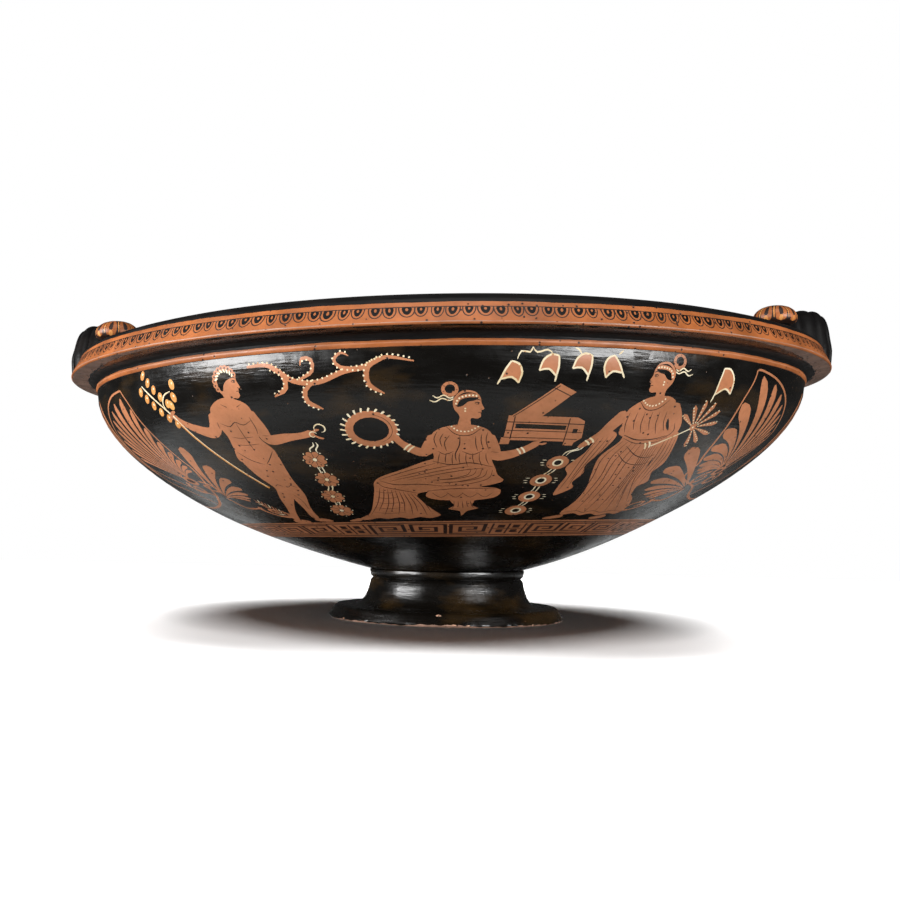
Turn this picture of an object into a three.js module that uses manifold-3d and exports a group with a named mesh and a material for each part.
// Knob-handled patera: a wide shallow footed bowl of red-figured pottery, with a heavy overhanging rim,
// two upright ribbed strap handles and four low mushroom knobs standing on the rim.
// Bowl, foot, handles and knobs are luted together and fired as one solid.
// Millimetres, +Z up. Origin at the middle of the foot's resting ring; +X runs through the right handle.
import * as THREE from "three";
import { mergeVertices } from "three/addons/utils/BufferGeometryUtils.js";
import Module from "manifold-3d";

// ---- Driving dimensions -------------------------------------------------------------------------------------
const RIM_RADIUS = 280; // the sharp arris under the egg band, the widest line of the rim
const RIM_HEIGHT = 176; // that arris above the table
const LIP_HEIGHT = 198; // the crest of the lip
const WALL = 7.5; // thickness of the thrown wall
const TURNS = 66; // facets round the wheel-thrown body
// The bowl sagged a little to one side before firing: it leans towards -X, gradually above the foot's stem.
const LEAN = { degrees: 2.1, from: 16, to: 80 };

// Bowl, outside
const NECK_RADIUS = 57.5; // where the bowl meets the foot's ring
const NECK_HEIGHT = 36.5;
const SHOULDER_RADIUS = 262; // the upright top of the painted wall
const SHOULDER_HEIGHT = 166.8;
const FLOOR_SLOPE = THREE.MathUtils.degToRad(14); // how steeply the bowl leaves the foot
const FLOOR_REACH = 90; // length of the curve's first handle, along that slope
const WALL_REACH = 50; // length of its last handle, straight down

// Rim
const RIM_FACE = { topRadius: RIM_RADIUS - 6, top: RIM_HEIGHT + 13 }; // the egg band's upper edge
const RIM_UNDERSIDE = { innerRadius: 268, height: RIM_HEIGHT - 1.5 };
const COVE_RADIUS = 5; // hollow moulding between the underside and the wall
const LIP_RADIUS = 249.5;
const LIP_INNER_RADIUS = 246;

// Foot
const RING = { radius: 59, top: 36.5, groove: 30, grooveRadius: 56.5 };
const STEM = { topRadius: 58.5, bottomRadius: 66.5, bottom: 8.2 };
const FLANGE = { topRadius: 84.5, top: 9, radius: 89.4, chamfer: 1.2 };
const FOOT_HOLLOW = { rimRadius: 77, radius: 50, ceiling: 25 };

// Strap handles: a ribbed strap bent to a squarish arch that stands on the rim and follows its curve
const HANDLE = { radius: 268.5, halfSpan: 46, root: 179, squareness: 2.5, steps: 18 };
const HANDLE_CROWN = { left: 220, right: 225 }; // height of the arch's middle line
const STRAP = { halfWidth: 15, rootShare: 0.86, outer: 8, inner: 5.5, ribs: 5, ribDepth: 1.6 };

// Knobs
const KNOB = { seatRadius: 256, seat: 190, stemRadius: 9, capRadius: 14, facets: 14 };
const KNOB_ANGLES = { left: 29, right: 36 }; // to either side of each handle
const KNOB_LEVELS = { capUnderside: 196, capEdge: 201, capTop: 208.5 };

// ---- Profile of the thrown body -----------------------------------------------------------------------------
const point = (r, z) => new THREE.Vector2(r, z);

// The wall's outer curve, from the foot's ring out and up to the shoulder.
const wallCurve = new THREE.CubicBezierCurve(
  point(NECK_RADIUS, NECK_HEIGHT),
  point(NECK_RADIUS + FLOOR_REACH * Math.cos(FLOOR_SLOPE), NECK_HEIGHT + FLOOR_REACH * Math.sin(FLOOR_SLOPE)),
  point(SHOULDER_RADIUS, SHOULDER_HEIGHT - WALL_REACH),
  point(SHOULDER_RADIUS, SHOULDER_HEIGHT),
);
const WALL_STEPS = 11;

// The same curve moved inwards by the wall's thickness, from the shoulder back down to the floor.
function innerWall() {
  const points = [];
  for (let i = WALL_STEPS; i >= 0; i--) {
    const t = i / WALL_STEPS;
    const p = wallCurve.getPoint(t);
    const along = wallCurve.getTangent(t);
    points.push(point(p.x - along.y * WALL, p.y + along.x * WALL));
  }
  return points;
}

// Points of a circular arc about (r, z), from one angle to another in degrees.
function arc(r, z, radius, from, to, steps) {
  return Array.from({ length: steps + 1 }, (_, i) => {
    const a = THREE.MathUtils.degToRad(from + ((to - from) * i) / steps);
    return point(r + radius * Math.cos(a), z + radius * Math.sin(a));
  });
}

function bodyProfile() {
  const lipRound = (LIP_RADIUS - LIP_INNER_RADIUS) / 2 + 0.6;
  const floor = innerWall().at(-1);
  return [
    point(0, FOOT_HOLLOW.ceiling),
    point(FOOT_HOLLOW.radius, FOOT_HOLLOW.ceiling - 1),
    point(FOOT_HOLLOW.radius + 5, FOOT_HOLLOW.ceiling - 8),
    point(FOOT_HOLLOW.rimRadius - 3, 3),
    point(FOOT_HOLLOW.rimRadius, 0),
    point(FLANGE.radius - FLANGE.chamfer, 0),
    point(FLANGE.radius, FLANGE.chamfer),
    point(FLANGE.topRadius + 0.6, FLANGE.top - 0.8),
    point(FLANGE.topRadius - 0.8, FLANGE.top),
    point(STEM.bottomRadius + 2, STEM.bottom),
    point(STEM.bottomRadius - 1.5, STEM.bottom + 3),
    point(STEM.topRadius + 2.2, (STEM.bottom + RING.groove) / 2),
    point(STEM.topRadius, RING.groove - 2.2),
    point(RING.grooveRadius, RING.groove),
    point(RING.radius - 0.4, RING.groove + 1.2),
    point(RING.radius, RING.groove + 3.2),
    point(RING.radius - 0.5, RING.top - 1),
    ...wallCurve.getPoints(WALL_STEPS),
    point(SHOULDER_RADIUS - 0.6, SHOULDER_HEIGHT + 3),
    ...arc(RIM_UNDERSIDE.innerRadius - 1, RIM_UNDERSIDE.height - COVE_RADIUS, COVE_RADIUS, 160, 90, 3),
    point(RIM_RADIUS - 0.8, RIM_HEIGHT - 0.6),
    point(RIM_RADIUS, RIM_HEIGHT + 0.6),
    point(RIM_FACE.topRadius + 1.2, RIM_FACE.top - 2),
    point(RIM_FACE.topRadius, RIM_FACE.top),
    point(RIM_FACE.topRadius - 4, RIM_FACE.top + 3),
    point((RIM_FACE.topRadius + LIP_RADIUS) / 2, LIP_HEIGHT - 3),
    ...arc(LIP_RADIUS - lipRound + 1, LIP_HEIGHT - lipRound, lipRound, 80, 190, 4),
    point(LIP_INNER_RADIUS + 1.5, LIP_HEIGHT - 10),
    ...innerWall(),
    point(floor.x / 2, floor.y - 1.6),
    point(0, floor.y - 2),
  ];
}

// ---- Handles and knobs --------------------------------------------------------------------------------------
// The strap's section as [across, outwards] pairs: ribs on the rounded outer face, a plain inner face.
function strapSection() {
  const around = STRAP.ribs * 2;
  const bulge = (across, height, power) => height * Math.max(0, 1 - Math.abs(across) ** power) ** 0.5;
  const outer = Array.from({ length: around + 1 }, (_, i) => {
    const across = Math.sin((Math.PI / 2) * ((2 * i) / around - 1));
    const groove = i % 2 === 0 && i > 0 && i < around ? STRAP.ribDepth : 0;
    return [across * STRAP.halfWidth, bulge(across, STRAP.outer, 2.6) - groove];
  });
  const inner = [0.86, 0.45, -0.45, -0.86].map((u) => [u * STRAP.halfWidth, -bulge(u, STRAP.inner, 4)]);
  return [...outer, ...inner];
}

// The section carried along the arch, its outward side always away from the middle of the finger gap.
function handleGeometry(side) {
  const section = strapSection();
  const rise = (side < 0 ? HANDLE_CROWN.left : HANDLE_CROWN.right) - HANDLE.root;
  const squarish = (value) => Math.sign(value) * Math.abs(value) ** (2 / HANDLE.squareness);
  const middle = (a) => point(HANDLE.halfSpan * squarish(Math.cos(a)), rise * squarish(Math.sin(a)));
  const ontoRim = (across, along, height) => {
    const turn = along / HANDLE.radius;
    const radius = HANDLE.radius + across;
    return [side * radius * Math.cos(turn), side * radius * Math.sin(turn), HANDLE.root + height];
  };
  const rows = Array.from({ length: HANDLE.steps + 1 }, (_, i) => {
    const a = (Math.PI * i) / HANDLE.steps;
    const here = middle(a);
    const next = middle(a + 0.01).sub(middle(a - 0.01)).normalize();
    const share = THREE.MathUtils.lerp(STRAP.rootShare, 1, Math.min(1, (2.2 * here.y) / rise));
    return section.map(([across, out]) => ontoRim(across * share, here.x + next.y * out, here.y - next.x * out));
  });
  const n = section.length;
  const corners = rows.flat();
  const faces = [];
  for (let i = 0; i < HANDLE.steps; i++)
    for (let j = 0; j < n; j++) {
      const k = (j + 1) % n;
      faces.push(i * n + j, (i + 1) * n + k, i * n + k, i * n + j, (i + 1) * n + j, (i + 1) * n + k);
    }
  for (const end of [0, HANDLE.steps]) {
    corners.push(ontoRim(0, end === 0 ? HANDLE.halfSpan : -HANDLE.halfSpan, 0));
    for (let j = 0; j < n; j++) {
      const edge = [end * n + j, end * n + ((j + 1) % n)];
      faces.push(corners.length - 1, ...(end === 0 ? edge : edge.reverse()));
    }
  }
  return new THREE.BufferGeometry()
    .setAttribute("position", new THREE.Float32BufferAttribute(corners.flat(), 3))
    .setIndex(faces);
}

function knobGeometry(degrees) {
  const profile = [
    point(0, KNOB.seat),
    point(KNOB.stemRadius, KNOB.seat),
    point(KNOB.stemRadius, KNOB_LEVELS.capUnderside - 1),
    point(KNOB.capRadius - 1.5, KNOB_LEVELS.capUnderside + 1.5),
    point(KNOB.capRadius, KNOB_LEVELS.capEdge),
    point(KNOB.capRadius - 1.6, KNOB_LEVELS.capEdge + 3.2),
    point(KNOB.capRadius - 5.5, KNOB_LEVELS.capTop - 1.4),
    point(0, KNOB_LEVELS.capTop),
  ];
  const turn = THREE.MathUtils.degToRad(degrees);
  return new THREE.LatheGeometry(profile, KNOB.facets)
    .rotateX(Math.PI / 2)
    .translate(KNOB.seatRadius * Math.cos(turn), KNOB.seatRadius * Math.sin(turn), 0);
}

// ---- Joining ------------------------------------------------------------------------------------------------
const wasm = await Module();
wasm.setup();

function solid(geometry) {
  const bare = geometry.clone();
  bare.deleteAttribute("normal");
  bare.deleteAttribute("uv");
  const merged = mergeVertices(bare, 1e-4);
  return new wasm.Manifold(
    new wasm.Mesh({
      numProp: 3,
      vertProperties: merged.attributes.position.array,
      triVerts: new Uint32Array(merged.index.array),
    }),
  );
}

// The sag: every level above the stem is raised on +X and lowered on -X.
function leaned(geometry) {
  const at = geometry.attributes.position;
  const slope = Math.tan(THREE.MathUtils.degToRad(LEAN.degrees));
  for (let i = 0; i < at.count; i++) {
    const share = THREE.MathUtils.smoothstep(at.getZ(i), LEAN.from, LEAN.to);
    at.setZ(i, at.getZ(i) + at.getX(i) * slope * share);
  }
  return geometry;
}

function pateraGeometry() {
  let joined = solid(new THREE.LatheGeometry(bodyProfile(), TURNS).rotateX(Math.PI / 2));
  for (const side of [-1, 1]) joined = joined.add(solid(handleGeometry(side)));
  const { left, right } = KNOB_ANGLES;
  for (const degrees of [right, -right, 180 - left, 180 + left])
    joined = joined.add(solid(knobGeometry(degrees)));
  const mesh = joined.getMesh();
  const geometry = new THREE.BufferGeometry()
    .setAttribute("position", new THREE.BufferAttribute(mesh.vertProperties, 3))
    .setIndex(new THREE.BufferAttribute(mesh.triVerts, 1));
  leaned(geometry);
  geometry.computeVertexNormals();
  return geometry;
}

const blackGloss = new THREE.MeshStandardMaterial({ color: 0x14110f, roughness: 0.28, metalness: 0 });

const patera = new THREE.Mesh(pateraGeometry(), blackGloss);
patera.name = "patera";

const group = new THREE.Group();
group.add(patera);
export default group;
